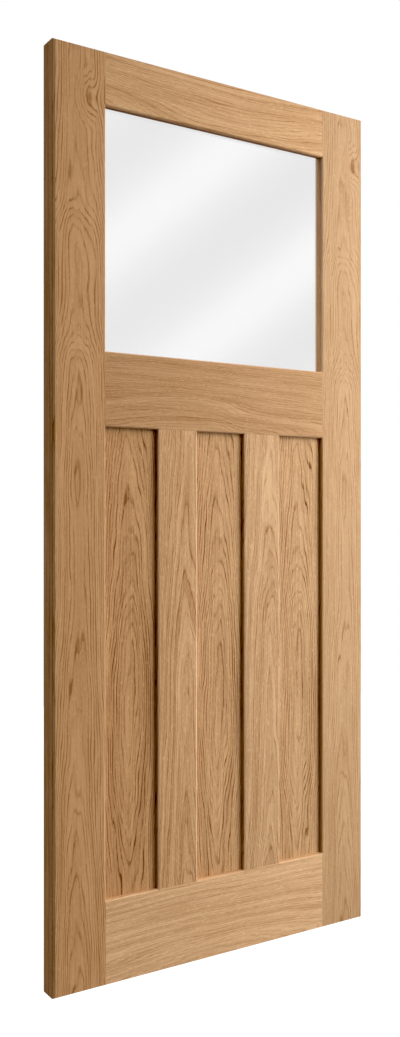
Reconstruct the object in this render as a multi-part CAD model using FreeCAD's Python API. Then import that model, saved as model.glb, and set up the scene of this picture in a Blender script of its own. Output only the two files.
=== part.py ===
import FreeCAD, Part
import os

# Oak door leaf, half glazed. X runs across the leaf from the hinge edge, Y from front to back through the
# thickness with the middle at 0, Z up from the bottom edge. All sizes are in millimetres.

# Leaf
leaf_width = 838.0
leaf_height = 1981.0
leaf_thickness = 44.0

# Face widths of the frame members. A stile's width takes in its lipping.
stile_width = 124.0
lipping_thickness = 7.0
top_rail_width = 113.0
lock_rail_width = 160.0
bottom_rail_width = 178.0
muntin_width = 101.0
light_height = 522.0

# Panels, the grooves they stand in and the stub tenons that share those grooves
panel_thickness = 18.0
groove_depth = 10.0
panel_face_clearance = 0.2
panel_swelling_gap = 1.5
tenon_face_clearance = 0.1
tenon_end_gap = 0.5

# Glazing, fitted from the back into a rebate behind a thin front lip
front_lip_thickness = 7.0
rebate_width = 10.0
front_bead_thickness = 7.5
pane_thickness = 6.0
pane_edge_gap = 2.0
front_bead_projection = 1.0
back_bead_width = 6.0
back_bead_nose = 7.5
back_bead_setback = 5.0

# Sanded arrises
frame_arris = 2.5
lipping_arris = 1.5
bead_arris = 1.0

# Places that follow from the sizes
front = -leaf_thickness / 2
back = leaf_thickness / 2
opening_left = stile_width
opening_right = leaf_width - stile_width
light_top = leaf_height - top_rail_width
light_bottom = light_top - light_height
panels_top = light_bottom - lock_rail_width
panels_bottom = bottom_rail_width
panel_opening_width = (opening_right - opening_left - 2 * muntin_width) / 3
groove_width = panel_thickness + 2 * panel_face_clearance
tenon_thickness = groove_width - 2 * tenon_face_clearance
tenon_length = groove_depth - tenon_end_gap
lip_back = front + front_lip_thickness
pane_front = lip_back + front_bead_thickness
pane_back = pane_front + pane_thickness
front_bead_width = rebate_width + front_bead_projection


def block(x, y, z):
    """A square edged piece between two places along each axis."""
    corner = FreeCAD.Vector(x[0], y[0], z[0])
    return Part.makeBox(x[1] - x[0], y[1] - y[0], z[1] - z[0], corner)


def middle(thickness):
    """A thickness laid evenly about the middle of the leaf."""
    return (-thickness / 2, thickness / 2)


def grown(span, amount):
    """A span made longer by the same amount at both ends."""
    return (span[0] - amount, span[1] + amount)


def outline(x, z, y):
    """The rectangular outline of an opening, in the plane at y."""
    corners = [(x[0], z[0]), (x[1], z[0]), (x[1], z[1]), (x[0], z[1]), (x[0], z[0])]
    return Part.makePolygon([FreeCAD.Vector(across, y, up) for across, up in corners])


def arris_round(x, z, face, inward):
    """The wood sanded off the arris all round an opening, from a face inward."""
    at_face = outline(grown(x, frame_arris), grown(z, frame_arris), face)
    below_face = outline(x, z, face + inward * frame_arris)
    return Part.makeLoft([at_face, below_face], True, True)


def opposite(shape):
    """The same piece for the other side of the leaf."""
    return shape.mirror(FreeCAD.Vector(leaf_width / 2, 0, 0), FreeCAD.Vector(1, 0, 0))


# Openings in the frame: the light, its rebate and the three panel openings
through = (front, back)
light_x = (opening_left, opening_right)
light_z = (light_bottom, light_top)
rebate_x = grown(light_x, rebate_width)
rebate_z = grown(light_z, rebate_width)
panels_z = (panels_bottom, panels_top)
panel_openings = []
for number in range(3):
    start = opening_left + number * (panel_opening_width + muntin_width)
    panel_openings.append((start, start + panel_opening_width))

rebate = block(rebate_x, (lip_back, back), rebate_z)
arrises = [
    arris_round(light_x, light_z, front, 1),
    arris_round(rebate_x, rebate_z, back, -1),
]
for panel_x in panel_openings:
    arrises.append(arris_round(panel_x, panels_z, front, 1))
    arrises.append(arris_round(panel_x, panels_z, back, -1))


def worked(piece, cuts):
    """A frame member after its grooves, rebate and arrises are cut."""
    return piece.cut(cuts + arrises).removeSplitter()


pieces = {}

# Stiles: grooved on the inner edge except beside the light, where the rebate takes the groove's place
stile_groove_x = (stile_width - groove_depth, stile_width)
lower_groove = block(stile_groove_x, middle(groove_width), (0, light_bottom))
upper_groove = block(stile_groove_x, middle(groove_width), (light_top, leaf_height))
stile = block((lipping_thickness, stile_width), through, (0, leaf_height))
hinge_stile = worked(stile, [lower_groove, upper_groove, rebate])
pieces["hinge_stile"] = hinge_stile
pieces["lock_stile"] = opposite(hinge_stile)

# Lippings: solid oak strips glued to the outer edges of the stiles, with both long arrises eased
lipping = block((0, lipping_thickness), through, (0, leaf_height))
outer_arrises = []
for edge in lipping.Edges:
    if edge.BoundBox.XMax < lipping_thickness / 2 and edge.BoundBox.ZLength > leaf_thickness:
        outer_arrises.append(edge)
hinge_edge_lipping = lipping.makeChamfer(lipping_arris, outer_arrises)
pieces["hinge_edge_lipping"] = hinge_edge_lipping
pieces["lock_edge_lipping"] = opposite(hinge_edge_lipping)


def rail(z):
    """A rail with square shoulders against the stiles and a stub tenon at each end."""
    body = block(light_x, through, z)
    tenons = block(grown(light_x, tenon_length), middle(tenon_thickness), z)
    return body.fuse(tenons)


# Rails: the lock rail and the bottom rail are grooved for the panels through their tenons as well
rail_groove_x = grown(light_x, groove_depth)
lock_rail_groove = block(rail_groove_x, middle(groove_width), (panels_top, panels_top + groove_depth))
bottom_rail_groove = block(rail_groove_x, middle(groove_width), (panels_bottom - groove_depth, panels_bottom))
pieces["top_rail"] = worked(rail((light_top, leaf_height)), [rebate])
pieces["lock_rail"] = worked(rail((panels_top, light_bottom)), [rebate, lock_rail_groove])
pieces["bottom_rail"] = worked(rail((0, panels_bottom)), [bottom_rail_groove])


def muntin(x):
    """An upright between two panels, grooved on both edges, with a stub tenon in each rail."""
    body = block(x, through, panels_z)
    tenons = block(x, middle(tenon_thickness), grown(panels_z, tenon_length))
    groove_z = grown(panels_z, groove_depth)
    left_groove = block((x[0], x[0] + groove_depth), middle(groove_width), groove_z)
    right_groove = block((x[1] - groove_depth, x[1]), middle(groove_width), groove_z)
    return worked(body.fuse(tenons), [left_groove, right_groove])


pieces["left_muntin"] = muntin((panel_openings[0][1], panel_openings[1][0]))
pieces["right_muntin"] = muntin((panel_openings[1][1], panel_openings[2][0]))

# Panels: flat boards left loose in the grooves, standing on the bottom of the bottom rail's groove
panel_edge_in_groove = groove_depth - panel_swelling_gap
panel_z = (panels_bottom - groove_depth, panels_top + panel_edge_in_groove)
for place, panel_x in zip(("left", "centre", "right"), panel_openings):
    board_x = grown(panel_x, panel_edge_in_groove)
    pieces[place + "_panel"] = block(board_x, middle(panel_thickness), panel_z)

# Pane: one sheet standing on the bottom of the rebate, with a gap at its sides and top
pane_x = grown(rebate_x, -pane_edge_gap)
pane_z = (rebate_z[0], rebate_z[1] - pane_edge_gap)
pieces["glass_pane"] = block(pane_x, (pane_front, pane_back), pane_z)


def mitred_end(section, across, up):
    """A bead's section laid on the mitre at the corner of the rebate that these signs name."""
    x = rebate_x[0] if across < 0 else rebate_x[1]
    z = rebate_z[0] if up < 0 else rebate_z[1]
    corners = [FreeCAD.Vector(x - across * inset, y, z - up * inset) for inset, y in section]
    return Part.makePolygon(corners + corners[:1])


def mitred_beads(section):
    """Four lengths of one bead section, cut to meet in mitres round the rebate."""
    ends = {
        "top": ((-1, 1), (1, 1)),
        "bottom": ((-1, -1), (1, -1)),
        "left": ((-1, -1), (-1, 1)),
        "right": ((1, -1), (1, 1)),
    }
    beads = {}
    for side, (first, last) in ends.items():
        beads[side] = Part.makeLoft([mitred_end(section, *first), mitred_end(section, *last)], True, True)
    return beads


# Beads, each section given as distance in from the rebate's wall and place through the thickness.
# The front one is square with an eased sight edge. The back one is splayed from its nose to the wall.
front_section = [
    (0, lip_back),
    (front_bead_width - bead_arris, lip_back),
    (front_bead_width, lip_back + bead_arris),
    (front_bead_width, pane_front),
    (0, pane_front),
]
back_section = [
    (0, pane_back),
    (back_bead_width, pane_back),
    (back_bead_width, pane_back + back_bead_nose),
    (0, back - back_bead_setback),
]
for side, bead in mitred_beads(front_section).items():
    pieces["front_" + side + "_bead"] = bead
for side, bead in mitred_beads(back_section).items():
    pieces["back_" + side + "_bead"] = bead

os.makedirs("parts", exist_ok=True)
for name, shape in pieces.items():
    shape.exportStep("parts/" + name + ".step")
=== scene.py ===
import math
import bpy
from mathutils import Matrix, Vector


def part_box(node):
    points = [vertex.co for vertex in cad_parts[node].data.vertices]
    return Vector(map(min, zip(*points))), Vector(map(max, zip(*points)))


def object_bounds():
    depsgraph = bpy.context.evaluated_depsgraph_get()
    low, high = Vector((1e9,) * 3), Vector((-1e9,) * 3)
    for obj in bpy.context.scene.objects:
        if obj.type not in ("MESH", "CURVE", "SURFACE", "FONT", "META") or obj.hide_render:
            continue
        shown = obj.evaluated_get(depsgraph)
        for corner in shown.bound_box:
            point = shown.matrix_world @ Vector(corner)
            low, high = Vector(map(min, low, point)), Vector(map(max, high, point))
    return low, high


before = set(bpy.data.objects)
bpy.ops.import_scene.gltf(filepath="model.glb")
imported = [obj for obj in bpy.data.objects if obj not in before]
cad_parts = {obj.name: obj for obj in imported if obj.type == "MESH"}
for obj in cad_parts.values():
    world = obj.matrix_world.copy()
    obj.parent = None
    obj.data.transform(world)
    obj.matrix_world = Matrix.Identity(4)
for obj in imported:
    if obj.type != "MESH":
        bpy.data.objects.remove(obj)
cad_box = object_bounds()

# Stiles. The two long uprights of the leaf, of crown cut oak, planed, sanded and lacquered to a satin. Both
# come from one log, sawn close to its heart, so the same arches of rings and a small knot near the top show
# on each of them.


def linear(hex_colour):
    """An sRGB hex colour as the linear colour that a shader takes."""
    parts = [int(hex_colour[i : i + 2], 16) / 255 for i in (1, 3, 5)]
    return [p / 12.92 if p <= 0.04045 else ((p + 0.055) / 1.055) ** 2.4 for p in parts] + [1.0]


def add(tree, kind, inputs, **settings):
    """Adds one node, sets it up, and gives its sockets values, other nodes or their outputs."""
    made = tree.nodes.new("ShaderNode" + kind)
    for name, value in settings.items():
        setattr(made, name, value)
    for socket, value in inputs.items():
        if isinstance(value, bpy.types.Node):
            value = value.outputs[0]
        if isinstance(value, bpy.types.NodeSocket):
            tree.links.new(value, made.inputs[socket])
        else:
            made.inputs[socket].default_value = value
    return made


def shape_curve(node, points):
    """Draws a node's curve through points that run from 0 to 1 both ways."""
    line = node.mapping.curves[0].points
    while len(line) < len(points):
        line.new(0.5, 0.5)
    for spot, place in zip(line, points):
        spot.location = place
    node.mapping.update()


def blank_material(name):
    """A new material with an empty node tree."""
    material = bpy.data.materials.new(name)
    material.use_nodes = True
    material.node_tree.nodes.clear()
    return material


def clothe(node, material):
    """Gives a solid of the frame its finish."""
    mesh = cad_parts[node].data
    mesh.materials.clear()
    mesh.materials.append(material)


def oak(
    node, turn, heart, figure, taper, ring, wander, line, band, seed, pale, dark,
    knot=None, arris_highlight="#554F48", gloss=0.08,
):
    """Lacquered oak for one board, cut as a solid through the rings of a log.

    To the eye it is a dull satin, warm brown, with a darker line of pores for each year, fine fibres along
    the board, pale flecks of ray, and broad soft bands that follow the rings.

    turn is "upright" or "level". heart is where the log's heart line runs across the board, in metres.
    figure gives, from one end of the board to the other, how many millimetres the heart lies under the
    face: where that changes the rings show as arches, and where it holds they show as straight lines.
    taper is how many millimetres the log narrows for each one along it, which stacks arches of one shape.
    ring is the width of a year's growth in millimetres, and wander how many years a line strays to and fro.
    line is a pair that says how strongly each year marks the board, over the heart and well beside it.
    band says how strongly each run of good or bad years does. seed picks the random patterns. pale and dark
    are the colours of the palest summer wood and of the darkest pore. knot says how far across from the
    heart and how far along from the end a small knot stands, in millimetres. The colour after knot is added
    to the arrises as a painted highlight, and gloss is how much of the lacquer's shine is left.
    """
    material = blank_material(node.replace("_", " ") + " oak")
    tree = material.node_tree
    low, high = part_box(node)
    end = 2 if turn == "upright" else 0
    millimetres = 1000
    length = millimetres * (high[end] - low[end])

    # Board coordinates in millimetres: across from the heart, down from the front face, along from the end.
    # They start half of each reach early, because the grain strays from there by up to a whole reach.
    sway_reach = Vector((26, 26, 0))
    tear_reach = Vector((2, 0, 28))
    across = -heart if turn == "upright" else heart
    start = Vector((millimetres * across, -millimetres * cad_box[0][1], -millimetres * low[end]))
    spin = (0, 0, 0) if turn == "upright" else (0, math.radians(-90), 0)
    place = add(tree, "TexCoord", {})
    board = add(
        tree,
        "Mapping",
        {
            "Vector": place.outputs["Object"],
            "Location": start - (sway_reach + tear_reach) / 2,
            "Rotation": spin,
            "Scale": (millimetres, millimetres, millimetres),
        },
    )

    # Random patterns, each with the size in millimetres of its patches across, through and along the board,
    # and with how many finer sizes it holds. Real pores are 0.3 mm wide and the ends of rays 0.5 mm. They
    # are drawn 1.4 and 1.6 mm wide, so that they show when the whole leaf is in view.
    patches = {
        "sway": ((110, 110, 520), 3),
        "tear": ((16, 40, 280), 1.5),
        "uneven": ((38, 38, 260), 2),
        "tone": ((45, 45, 380), 3),
        "fade": ((13, 30, 100), 3),
        "fibre": ((2.6, 8, 150), 3),
        "pore": ((1.4, 1.4, 20), 3),
        "ray": ((1.6, 1.6, 9), 1),
    }
    patterns_apart = (7.3, 3.1, 1.7)
    share_of_finer = 0.55
    random = {}
    for number, (name, (size, detail)) in enumerate(patches.items()):
        shift = [apart * number for apart in patterns_apart]
        shift[2] += seed
        scale = [1 / s for s in size]
        stretched = add(tree, "Mapping", {"Vector": board, "Location": shift, "Scale": scale})
        random[name] = add(
            tree,
            "TexNoise",
            {"Vector": stretched, "Scale": 1, "Detail": detail, "Roughness": share_of_finer},
        )

    # The grain sways slowly across the board, and tears along it into ragged flames
    swayed = add(
        tree,
        "VectorMath",
        {0: random["sway"].outputs["Color"], 1: sway_reach, 2: board},
        operation="MULTIPLY_ADD",
    )
    torn = add(
        tree,
        "VectorMath",
        {0: random["tear"].outputs["Color"], 1: tear_reach, 2: swayed},
        operation="MULTIPLY_ADD",
    )
    axes = add(tree, "SeparateXYZ", {0: torn})

    # Years counted out from the heart, which lies as deep as the figure says
    deepest = max(depth for _, depth in figure)
    share = add(tree, "Math", {0: axes.outputs["Z"], 1: length}, operation="DIVIDE")
    bow = add(tree, "FloatCurve", {"Value": share})
    shape_curve(bow, [(along, depth / deepest) for along, depth in figure])
    depth = add(tree, "Math", {0: bow, 1: deepest, 2: axes.outputs["Y"]}, operation="MULTIPLY_ADD")
    layers = []
    if knot:
        # The rings swell round a knot, whose own end grain is a small dark mark in the middle
        half_width = 52
        half_length = 80
        swelling = 18
        mark_edge = 0.24
        mark_core = 0.06
        mark_weight = 0.6
        off_knot = add(
            tree,
            "VectorMath",
            {
                0: torn,
                1: (1 / half_width, 0, 1 / half_length),
                2: (-knot[0] / half_width, 0, -knot[1] / half_length),
            },
            operation="MULTIPLY_ADD",
        )
        from_knot = add(tree, "VectorMath", {0: off_knot}, operation="LENGTH").outputs["Value"]
        lump = add(
            tree,
            "MapRange",
            {"Value": from_knot, "From Min": 1.0, "From Max": 0.0, "To Max": swelling},
            interpolation_type="SMOOTHERSTEP",
        )
        depth = add(tree, "Math", {0: depth, 1: lump}, operation="ADD")
        mark = add(tree, "MapRange", {"Value": from_knot, "From Min": mark_edge, "From Max": mark_core})
        layers.append((mark, 0.0, mark_weight))
    reach = add(tree, "CombineXYZ", {"X": axes.outputs["X"], "Y": depth})
    radius = add(tree, "VectorMath", {0: reach}, operation="LENGTH").outputs["Value"]
    narrowed = add(tree, "Math", {0: axes.outputs["Z"], 1: taper, 2: radius}, operation="MULTIPLY_ADD")
    years = add(tree, "Math", {0: narrowed, 1: ring}, operation="DIVIDE")
    count = add(tree, "Math", {0: random["uneven"], 1: wander, 2: years}, operation="MULTIPLY_ADD")
    season = add(tree, "Math", {0: count}, operation="FRACT")
    year = add(tree, "Math", {0: count}, operation="FLOOR")

    # A year opens with a dark line of pores, pales into summer and darkens again before the next. Some years
    # are bolder than others, and each line comes and goes along the board.
    seasons = [(0, 1), (0.13, 0.85), (0.27, 0.12), (0.45, 0), (0.8, 0.1), (0.92, 0.25), (1, 0.7)]
    faintest_year = 0.25
    faintest_stretch = 0.2
    good_or_bad = add(tree, "TexWhiteNoise", {"W": year}, noise_dimensions="1D")
    growth = add(tree, "FloatCurve", {"Value": season})
    shape_curve(growth, seasons)
    contrast = add(tree, "MapRange", {"Value": good_or_bad, "To Min": faintest_year})
    fade = add(
        tree,
        "MapRange",
        {"Value": random["fade"], "From Min": 0.36, "From Max": 0.62, "To Min": faintest_stretch},
    )
    bold = add(tree, "Math", {0: growth, 1: contrast}, operation="MULTIPLY")
    patchy = add(tree, "Math", {0: bold, 1: fade}, operation="MULTIPLY")

    # Over the heart the saw runs along the rings, so their lines can be fainter there than where it cuts
    # across them
    over_heart, beside_heart = line
    well_beside = 30
    off_heart = add(tree, "Math", {0: axes.outputs["X"]}, operation="ABSOLUTE")
    strength = add(
        tree,
        "MapRange",
        {"Value": off_heart, "From Max": well_beside, "To Min": over_heart, "To Max": beside_heart},
    )
    lines = add(tree, "Math", {0: patchy, 1: strength}, operation="MULTIPLY")

    # Runs of wet and dry years, which show as broad soft bands that follow the rings
    runs_in_a_year = 0.38
    first_run = 9.7 * seed
    decade = add(tree, "Math", {0: count, 1: runs_in_a_year, 2: first_run}, operation="MULTIPLY_ADD")
    weather = add(tree, "TexNoise", {"W": decade, "Scale": 1, "Detail": 1}, noise_dimensions="1D")

    # Pores crowd into the spring wood of each year, and the ends of rays show as pale flecks
    summer_pores = 0.25
    open_pore = add(
        tree,
        "MapRange",
        {"Value": random["pore"], "From Min": 0.52, "From Max": 0.68},
        interpolation_type="SMOOTHSTEP",
    )
    crowd = add(tree, "MapRange", {"Value": growth, "To Min": summer_pores})
    pores = add(tree, "Math", {0: open_pore, 1: crowd}, operation="MULTIPLY")
    rays = add(tree, "MapRange", {"Value": random["ray"], "From Min": 0.58, "From Max": 0.70})

    # Shades of the wood, from the palest summer wood to the darkest pore. Each layer is given with its mean
    # and its weight, and is set about the mean, so that a bolder grain leaves the board as dark as before.
    mean_shade = 0.42
    layers += [
        (random["tone"], 0.5, 0.45),
        (random["fibre"], 0.5, 0.75),
        (weather, 0.5, band),
        (lines, 0.13 * beside_heart, 1.0),
        (pores, 0.1, 0.36),
        (rays, 0.1, -0.3),
    ]
    shade = mean_shade - sum(mean * weight for _, mean, weight in layers)
    for layer, _, weight in layers:
        shade = add(tree, "Math", {0: layer, 1: weight, 2: shade}, operation="MULTIPLY_ADD")
    wood = add(tree, "ValToRGB", {"Fac": shade})
    stops = wood.color_ramp.elements
    stops[0].color = linear(pale)
    stops[1].color = linear(dark)

    # Arrises lie halfway between two faces, so the square of how far they look to the front or back is near
    # a half. A paler colour is added to them there as a painted highlight.
    on_arris = 0.5
    near_enough = 0.3
    facing = add(tree, "SeparateXYZ", {0: add(tree, "NewGeometry", {}).outputs["True Normal"]})
    askew = add(tree, "Math", {0: facing.outputs["Y"], 1: facing.outputs["Y"]}, operation="MULTIPLY")
    arris = add(tree, "Math", {0: askew, 1: on_arris, 2: near_enough}, operation="COMPARE")
    colour = add(tree, "MixRGB", {"Fac": arris, "Color1": wood, "Color2": linear(arris_highlight)}, blend_type="ADD")

    # Lacquer lies thin over the pores, so they are duller and slightly sunk
    satin = 0.42
    open_grain = 0.62
    pore_depth = 0.0003
    dull = add(tree, "MapRange", {"Value": pores, "To Min": satin, "To Max": open_grain})
    sunk = add(tree, "Math", {0: pores, 1: -1.0, 2: random["fibre"]}, operation="MULTIPLY_ADD")
    relief = add(tree, "Bump", {"Strength": 0.3, "Distance": pore_depth, "Height": sunk})
    surface = add(
        tree,
        "BsdfPrincipled",
        {"Base Color": colour, "Roughness": dull, "IOR": 1.5, "Specular IOR Level": gloss, "Normal": relief},
    )
    add(tree, "OutputMaterial", {"Surface": surface})
    clothe(node, material)


stile_figure = [
    (0, 14), (0.3, 27), (0.4, 27), (0.64, 20), (0.66, 21), (0.725, 42), (0.79, 39), (0.84, 52), (1, 56)
]
# Both stiles keep the default painted highlight on their arrises
oak(
    "hinge_stile", "upright", heart=0.060, figure=stile_figure, taper=0.03, ring=4.5, wander=3.6,
    line=(0.6, 1.6), band=0.5, seed=5.0, pale="#C89C72", dark="#8E6239", knot=(27, 1874),
)
oak(
    "lock_stile", "upright", heart=0.785, figure=stile_figure, taper=0.03, ring=4.5, wander=3.6,
    line=(0.5, 1.2), band=0.35, seed=5.08, pale="#C6A27C", dark="#946943", knot=(26, 1858),
)

# Lippings. Solid oak strips glued to the outer edges of the stiles and planed flush with the faces. They
# are quarter sawn, so their rings run as straight lines up the edge, and left bare of lacquer, to be planed
# again when the leaf is hung. The one on the hinge edge is given darker colours as painted shade, for that
# edge faces the dark side of the room. Neither lipping has a painted highlight on its arrises.
lipping_figure = [(0, 300), (0.5, 310), (1, 300)]
oak(
    "hinge_edge_lipping", "upright", heart=-0.08, figure=lipping_figure, taper=0.0, ring=4.5, wander=2.0,
    line=(1.0, 1.0), band=1.2, seed=3.0, pale="#947353", dark="#614224", arris_highlight="#000000", gloss=0.0,
)
oak(
    "lock_edge_lipping", "upright", heart=0.92, figure=lipping_figure, taper=0.0, ring=4.5, wander=2.0,
    line=(0.5, 0.5), band=0.4, seed=4.0, pale="#C6A27C", dark="#946943", arris_highlight="#000000", gloss=0.0,
)

# Rails. Three oak boards laid level between the stiles on stub tenons, cut away from the heart so that the
# grain runs nearly straight from stile to stile. Only the lock rail's arrises get a painted highlight, added
# as a paler colour.
rails = {
    "top_rail": ([(0, 120), (0.5, 135), (1, 118)], "#D3AA80", "#9A6C42", "#000000"),
    "lock_rail": ([(0, 110), (0.45, 100), (0.6, 112), (1, 130)], "#C39B74", "#8E623A", "#4A443E"),
    "bottom_rail": ([(0, 130), (0.5, 118), (1, 135)], "#DFB78F", "#A2754A", "#000000"),
}
heart_below_rail = 0.03
for number, (node, (figure, pale, dark, arris_highlight)) in enumerate(rails.items()):
    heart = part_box(node)[0][2] - heart_below_rail
    oak(
        node, "level", heart, figure, taper=0.0, ring=3.4, wander=3.0,
        line=(0.65, 0.65), band=0.6, seed=11.0 + number, pale=pale, dark=dark, arris_highlight=arris_highlight,
    )

# Muntins. The two short uprights between the panels, tenoned into the lock rail and the bottom rail. The log
# tapered, so arches of one shape are stacked up each face, off its middle to the right. Their arrises get
# the brightest painted highlight.
muntins = {"left_muntin": ("#D3AB81", "#88562F"), "right_muntin": ("#D3AD84", "#865530")}
muntin_figure = [(0, 12), (0.2, 18), (0.45, 13), (0.55, 14), (0.8, 27), (1, 24)]
arches_from_left = 0.076
for number, (node, (pale, dark)) in enumerate(muntins.items()):
    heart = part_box(node)[0][0] + arches_from_left
    oak(
        node, "upright", heart, muntin_figure, taper=0.05, ring=4.5, wander=4.0,
        line=(0.35, 0.85), band=0.75, seed=21.0 + number, pale=pale, dark=dark, arris_highlight="#8C867C",
    )

# Panels. Flat oak faced boards, loose in the grooves of the frame. All three are laid with leaves sliced one
# after another from a log, so that the same long eye of rings shows in each.
panels = {
    "left_panel": ("#CDA174", "#71401D"),
    "centre_panel": ("#D3A97D", "#744420"),
    "right_panel": ("#D1AA7F", "#734321"),
}
panel_figure = [
    (0, 42), (0.14, 34), (0.24, 24), (0.34, 20), (0.5, 21), (0.56, 25), (0.68, 38), (0.84, 47), (1, 58)
]
for number, (node, (pale, dark)) in enumerate(panels.items()):
    low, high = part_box(node)
    heart = (low[0] + high[0]) / 2
    oak(
        node, "upright", heart, panel_figure, taper=0.0, ring=4.0, wander=4.0,
        line=(0.3, 1.3), band=0.4, seed=31.0 + 0.2 * number, pale=pale, dark=dark,
    )

# Glazing beads. Slim oak strips, mitred round the rebate in front of the pane and behind it. They are
# straight grained, so that a strip this thin doesn't split when it is pinned. The top ones are given
# darker colours as painted shade, for the shade under the top rail over the pane.
bead_figure = [(0, 200), (0.5, 205), (1, 200)]
beads = {
    # The top beads' darker colours are painted shade
    "top": ("level", "#A56E41", "#6C3C18"),
    "bottom": ("level", "#C1986C", "#80552D"),
    "left": ("upright", "#C1986C", "#80552D"),
    "right": ("upright", "#C1986C", "#80552D"),
}
heart_beside_bead = 0.05
for number, face in enumerate(("front", "back")):
    for side, (turn, pale, dark) in beads.items():
        node = face + "_" + side + "_bead"
        low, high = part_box(node)
        edge = low[0] if turn == "upright" else low[2]
        oak(
            node, turn, edge - heart_beside_bead, bead_figure, taper=0.0, ring=4.5, wander=2.0,
            line=(0.5, 0.5), band=0.4, seed=41.0 + number + low[0] + low[2], pale=pale, dark=dark,
        )

# Pane. One sheet of clear float glass, held between the beads. Float glass is flat to the eye, with a slow
# wave left by the rollers that bends what it mirrors a little. It is kept out of the shadows and out of the
# bounced light, where glass only adds specks.
glass = blank_material("clear float glass")
tree = glass.node_tree
place = add(tree, "TexCoord", {})
roller_wave = 150
wave_height = 0.002
wave = add(tree, "TexNoise", {"Vector": place.outputs["Object"], "Scale": 1000 / roller_wave, "Detail": 1})
ripple = add(tree, "Bump", {"Strength": 0.02, "Distance": wave_height, "Height": wave})
surface = add(
    tree,
    "BsdfPrincipled",
    {
        "Base Color": linear("#EEEEEE"),
        "Roughness": 0.0,
        "IOR": 1.52,
        "Transmission Weight": 1.0,
        "Normal": ripple,
    },
)
add(tree, "OutputMaterial", {"Surface": surface})
clothe("glass_pane", glass)
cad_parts["glass_pane"].visible_shadow = False
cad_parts["glass_pane"].visible_diffuse = False

# Studio floor. A plain pale board that the leaf stands on. Seen straight or through the pane it glows, so
# that it runs into the white behind the leaf and no shadow shows. The leaf gets only a grey board's light
# from it.
floor_size = (5.0, 3.6, 1.0)
floor_middle = (0.6, 1.3, cad_box[0][2])
bpy.ops.object.select_all(action="DESELECT")
bpy.ops.mesh.primitive_plane_add(size=1, location=floor_middle)
floor = bpy.context.object
floor.name = "studio_floor"
floor.scale = floor_size
bpy.ops.object.transform_apply(location=True, rotation=True, scale=True)
board = blank_material("pale floor board")
tree = board.node_tree
path = add(tree, "LightPath", {})
seen = add(
    tree,
    "Math",
    {0: path.outputs["Is Camera Ray"], 1: path.outputs["Is Transmission Ray"]},
    operation="MAXIMUM",
)
surface = add(
    tree,
    "BsdfPrincipled",
    {
        "Base Color": linear("#666666"),
        "Roughness": 0.9,
        "Emission Color": linear("#FFFFFF"),
        "Emission Strength": seen,
    },
)
add(tree, "OutputMaterial", {"Surface": surface})
floor.data.materials.append(board)

# Studio light. White sheets stand behind the leaf down to the floor, the brighter ones to the left. Strip
# lights stand at its front right and black cloth at its front left, which the pane and the lacquer mirror.
# Seen straight or through the pane, the whole room is plain white.
left_sheets = 2.6
right_sheets = 1.0
strip_level = 1.9
world = bpy.data.worlds.new("studio surround")
bpy.context.scene.world = world
world.use_nodes = True
tree = world.node_tree
tree.nodes.clear()
way = add(tree, "TexCoord", {}).outputs["Generated"]
parts = add(tree, "SeparateXYZ", {0: way})
to_right = add(
    tree,
    "MapRange",
    {"Value": parts.outputs["X"], "From Min": -0.08, "From Max": 0.04},
    interpolation_type="SMOOTHSTEP",
)
to_front = add(
    tree,
    "MapRange",
    {"Value": parts.outputs["Y"], "From Min": 0.02, "From Max": -0.12},
    interpolation_type="SMOOTHSTEP",
)
overhead = add(
    tree,
    "MapRange",
    {"Value": parts.outputs["Z"], "From Min": 0.0, "From Max": 0.12},
    interpolation_type="SMOOTHSTEP",
)

# The strips lie side by side, aslant, one for every 7 degrees or so, and shade off softly into the gaps
across_strips = Vector((1.257, 0.3485, -1.552)).normalized()
strip_rate = 51.4
strip_start = 4.674
strip_turn = add(tree, "VectorMath", {0: way, 1: across_strips}, operation="DOT_PRODUCT").outputs["Value"]
strip_phase = add(tree, "Math", {0: strip_turn, 1: strip_rate, 2: strip_start}, operation="MULTIPLY_ADD")
strip_wave = add(tree, "Math", {0: strip_phase}, operation="SINE")
strips = add(tree, "MapRange", {"Value": strip_wave, "From Min": -1, "To Min": 0.0, "To Max": strip_level})
front_right = add(tree, "Math", {0: strips, 1: overhead}, operation="MULTIPLY")
front = add(tree, "MapRange", {"Value": to_right, "To Min": 0.0, "To Max": front_right})
sheets = add(tree, "MapRange", {"Value": to_right, "To Min": left_sheets, "To Max": right_sheets})
above_floor = add(tree, "MapRange", {"Value": parts.outputs["Z"], "From Min": -0.12, "From Max": 0.0})
back = add(tree, "Math", {0: sheets, 1: above_floor}, operation="MULTIPLY")
room = add(tree, "MapRange", {"Value": to_front, "To Min": back, "To Max": front})
path = add(tree, "LightPath", {})
seen = add(
    tree,
    "Math",
    {0: path.outputs["Is Camera Ray"], 1: path.outputs["Is Transmission Ray"]},
    operation="MAXIMUM",
)
level = add(tree, "Math", {0: room, 1: seen}, operation="MAXIMUM")
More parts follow.
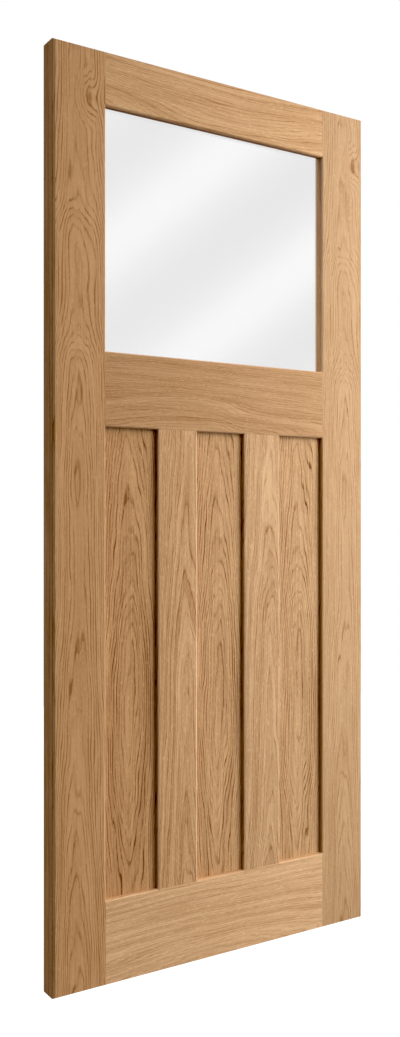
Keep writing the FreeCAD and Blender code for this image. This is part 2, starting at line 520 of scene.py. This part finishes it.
surround = add(tree, "Background", {"Color": linear("#FFFFFF"), "Strength": level})
add(tree, "OutputWorld", {"Surface": surround})


# Lamps. A broad front light hangs high before the leaf. A rim light at the upper right grazes the face and
# picks out the arrises. A soft box stands close at the front right and lights that side of the face more.
def hang(lamp, aim):
    """Hangs a lamp that shines along an aim and isn't mirrored in the lacquer or the pane."""
    holder = bpy.data.objects.new(lamp.name.replace(" ", "_"), lamp)
    bpy.context.scene.collection.objects.link(holder)
    holder.rotation_euler = aim.to_track_quat("-Z", "Y").to_euler()
    holder.visible_glossy = False
    holder.visible_transmission = False
    return holder


front_light = bpy.data.lights.new("front light", "SUN")
front_light.angle = math.radians(50)
front_light.energy = 1.1
front_light.color = linear("#FFFBF4")[:3]
hang(front_light, Vector((-0.20, 0.80, -0.56)))

rim_light = bpy.data.lights.new("rim light", "SUN")
rim_light.angle = math.radians(20)
rim_light.energy = 1.4
hang(rim_light, Vector((-0.87, 0.06, -0.49)))

soft_box = bpy.data.lights.new("soft box", "AREA")
soft_box.shape = "RECTANGLE"
soft_box.size = 0.8
soft_box.size_y = 2.4
soft_box.energy = 18
soft_box.color = linear("#F6FBFF")[:3]
soft_box_place = Vector((1.15, -0.8, 1.25))
soft_box_target = Vector((0.5, 0, 1.1))
hang(soft_box, soft_box_target - soft_box_place).location = soft_box_place

# Camera. Level at half the height of the leaf and off to its left, so the face runs away to the right.
leaf_height = cad_box[1][2]
lens = bpy.data.cameras.new("camera")
lens.sensor_fit = "VERTICAL"
lens.sensor_height = 36
lens.lens = 36.375
camera = bpy.data.objects.new("camera", lens)
bpy.context.scene.collection.objects.link(camera)
camera.location = (-0.905, -2.0056, leaf_height / 2)
camera.rotation_euler = (math.radians(90), 0, math.radians(-32.557))
bpy.context.scene.camera = camera

# The darkest shadows are printed as full black
black_level = 0.02
view = bpy.context.scene.view_settings
view.view_transform = "Standard"
view.use_curve_mapping = True
view.curve_mapping.black_level = (black_level, black_level, black_level)
view.curve_mapping.update()
